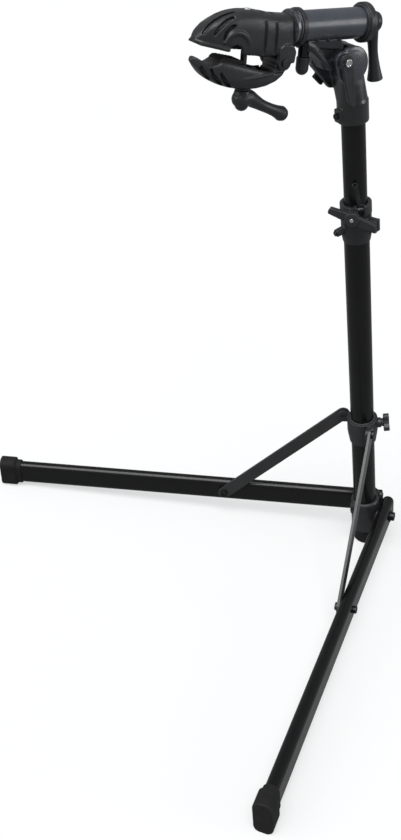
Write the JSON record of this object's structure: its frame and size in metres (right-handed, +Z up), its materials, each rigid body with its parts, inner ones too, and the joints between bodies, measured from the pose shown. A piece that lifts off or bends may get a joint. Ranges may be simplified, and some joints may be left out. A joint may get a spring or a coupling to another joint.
{
  "type": "folding repair stand",
  "caption": "Folding two-legged workshop stand with a telescoping leaning mast, braced oval legs, and a tilting, rotating jaw clamp that grips a bicycle's tube.",
  "frame": {"origin": "on the floor at the middle of the mast foot", "axes": "+Z up, +X horizontally the way the clamp reaches, +Y towards the left leg's side"},
  "size_m": [0.6703, 1.0778, 1.0924],
  "materials": {
    "tube_paint": "glossy black powder coat",
    "barrel_paint": "semi-gloss dark blue-grey",
    "moulded_plastic": "satin charcoal moulding",
    "bearing_plastic": "natural grey low-friction plastic",
    "foot_rubber": "matte black rubber",
    "bright_steel": "bright plated",
    "dark_steel": "blackened zinc plate"
  },
  "bodies": {
    "mast_base": {"lower_tube": "tube_paint", "mast_foot": "foot_rubber", "foot_hub": "moulded_plastic", "hub_screws": "dark_steel", "leg_pivot_bolts": "dark_steel", "height_clamp": "moulded_plastic", "clamp_bushing": "bearing_plastic", "clamp_screws": "dark_steel", "lever_pin": "dark_steel"},
    "height_lever": {"height_lever": "dark_steel"},
    "height_knob": {"height_knob": "moulded_plastic", "height_knob_stud": "bright_steel"},
    "left_leg": {"left_leg_tube": "tube_paint", "left_leg_foot": "foot_rubber", "left_leg_plug": "moulded_plastic", "left_leg_bush": "dark_steel", "left_strut_nut": "dark_steel"},
    "right_leg": {"right_leg_tube": "tube_paint", "right_leg_foot": "foot_rubber", "right_leg_plug": "moulded_plastic", "right_leg_bush": "dark_steel", "right_strut_nut": "dark_steel"},
    "slide_collar": {"slide_collar": "moulded_plastic", "collar_liner": "bearing_plastic", "collar_strut_bolts": "dark_steel"},
    "collar_knob": {"collar_knob": "moulded_plastic", "collar_knob_stud": "bright_steel"},
    "left_strut": {"left_strut": "tube_paint", "left_strut_bolt": "dark_steel"},
    "right_strut": {"right_strut": "tube_paint", "right_strut_bolt": "dark_steel"},
    "upper_mast": {"upper_tube": "tube_paint", "slide_guide": "bearing_plastic", "mast_head": "barrel_paint", "socket_screws": "dark_steel", "head_bumper": "foot_rubber", "tilt_bolt": "bright_steel"},
    "tilt_lever": {"tilt_lever": "moulded_plastic", "tilt_nut": "bright_steel"},
    "head": {"head_bracket": "barrel_paint", "head_barrel": "barrel_paint", "barrel_collar": "moulded_plastic", "rear_cap": "moulded_plastic", "front_bush": "bearing_plastic", "rear_bush": "bearing_plastic", "plunger_housing": "dark_steel"},
    "lock_plunger": {"lock_plunger": "moulded_plastic"},
    "rear_handle": {"rear_handle": "moulded_plastic", "handle_stud": "bright_steel"},
    "clamp": {"clamp_spindle": "dark_steel", "spin_ring": "moulded_plastic", "upper_jaw": "moulded_plastic", "upper_pad": "foot_rubber", "jaw_hinge_pin": "dark_steel", "screw_nut": "dark_steel"},
    "lower_jaw": {"lower_jaw": "moulded_plastic", "lower_pad": "foot_rubber"},
    "saddle_washer": {"saddle_washer": "dark_steel"},
    "clamp_lever": {"clamp_screw": "bright_steel", "clamp_lever": "moulded_plastic"}
  },
  "joints": [
    {"name": "left_leg_fold", "type": "hinge", "parent": "mast_base", "child": "left_leg", "pos_m": [0.0136, 0, 0.06867], "axis": [0.6107, -0.7826, -0.1209], "range_deg": [0, 66]},
    {"name": "right_leg_fold", "type": "hinge", "parent": "mast_base", "child": "right_leg", "pos_m": [0.0136, 0, 0.06867], "axis": [-0.6107, -0.7826, 0.1209], "range_deg": [0, 66.5]},
    {"name": "collar_slide", "type": "slide", "parent": "mast_base", "child": "slide_collar", "axis": [0.1942, 0, 0.981], "range_m": [0, 0.3757]},
    {"name": "left_strut_swing", "type": "hinge", "parent": "slide_collar", "child": "left_strut", "pos_m": [0.08939, 0.02366, 0.29832], "axis": [-0.6107, 0.7826, 0.1209], "range_deg": [0, 42.1]},
    {"name": "right_strut_swing", "type": "hinge", "parent": "slide_collar", "child": "right_strut", "pos_m": [0.08939, -0.02366, 0.29832], "axis": [0.6107, 0.7826, -0.1209], "range_deg": [0, 42.1]},
    {"name": "collar_knob_turn", "type": "hinge", "parent": "slide_collar", "child": "collar_knob", "pos_m": [0.0291, 0.01908, 0.30414], "axis": [-0.8319, 0.5299, 0.1647], "continuous": true},
    {"name": "height_knob_turn", "type": "hinge", "parent": "mast_base", "child": "height_knob", "pos_m": [0.17473, 0.02546, 0.75137], "axis": [0.6936, 0.7071, -0.1373], "continuous": true},
    {"name": "height_lever_flip", "type": "hinge", "parent": "mast_base", "child": "height_lever", "pos_m": [0.16267, 0.02819, 0.76293], "axis": [-0.9095, 0.3746, 0.1801], "range_deg": [0, 75]},
    {"name": "mast_height", "type": "slide", "parent": "mast_base", "child": "upper_mast", "axis": [0.1942, 0, 0.981], "range_m": [-0.06, 0.38]},
    {"name": "tilt_lever_turn", "type": "hinge", "parent": "upper_mast", "child": "tilt_lever", "pos_m": [0.23115, 0, 1.01035], "axis": [0, 1, 0], "range_deg": [-95, 0]},
    {"name": "head_tilt", "type": "hinge", "parent": "upper_mast", "child": "head", "pos_m": [0.23115, 0, 1.01035], "axis": [0, 1, 0], "range_deg": [-4, 32]},
    {"name": "plunger_pull", "type": "slide", "parent": "head", "child": "lock_plunger", "axis": [0, 0, -1], "range_m": [0, 0.008], "stiffness_N_per_m": 600, "springref_m": -0.002},
    {"name": "clamp_spin", "type": "hinge", "parent": "head", "child": "clamp", "pos_m": [0.23115, 0, 1.06134], "axis": [1, 0, 0], "continuous": true},
    {"name": "rear_handle_turn", "type": "hinge", "parent": "head", "child": "rear_handle", "pos_m": [0.23115, 0, 1.06134], "axis": [1, 0, 0], "continuous": true},
    {"name": "jaw_open", "type": "hinge", "parent": "clamp", "child": "lower_jaw", "pos_m": [0.34415, 0, 1.01635], "axis": [0, 1, 0], "range_deg": [0, 15]},
    {"name": "screw_travel", "type": "slide", "parent": "clamp", "child": "saddle_washer", "axis": [0, 0, -1], "range_m": [0, 0.0215]},
    {"name": "screw_turn", "type": "hinge", "parent": "saddle_washer", "child": "clamp_lever", "pos_m": [0.40115, 0, 1.02435], "axis": [0, 0, 1], "continuous": true}
  ],
  "couplings": [
    {"joint": "right_leg_fold", "follows": "left_leg_fold", "ratio": 1},
    {"joint": "collar_slide", "follows": "left_leg_fold", "m_per_rad": 0.32528},
    {"joint": "left_strut_swing", "follows": "left_leg_fold", "ratio": 0.62993},
    {"joint": "right_strut_swing", "follows": "left_leg_fold", "ratio": 0.62993},
    {"joint": "screw_travel", "follows": "jaw_open", "m_per_rad": 0.08}
  ]
}
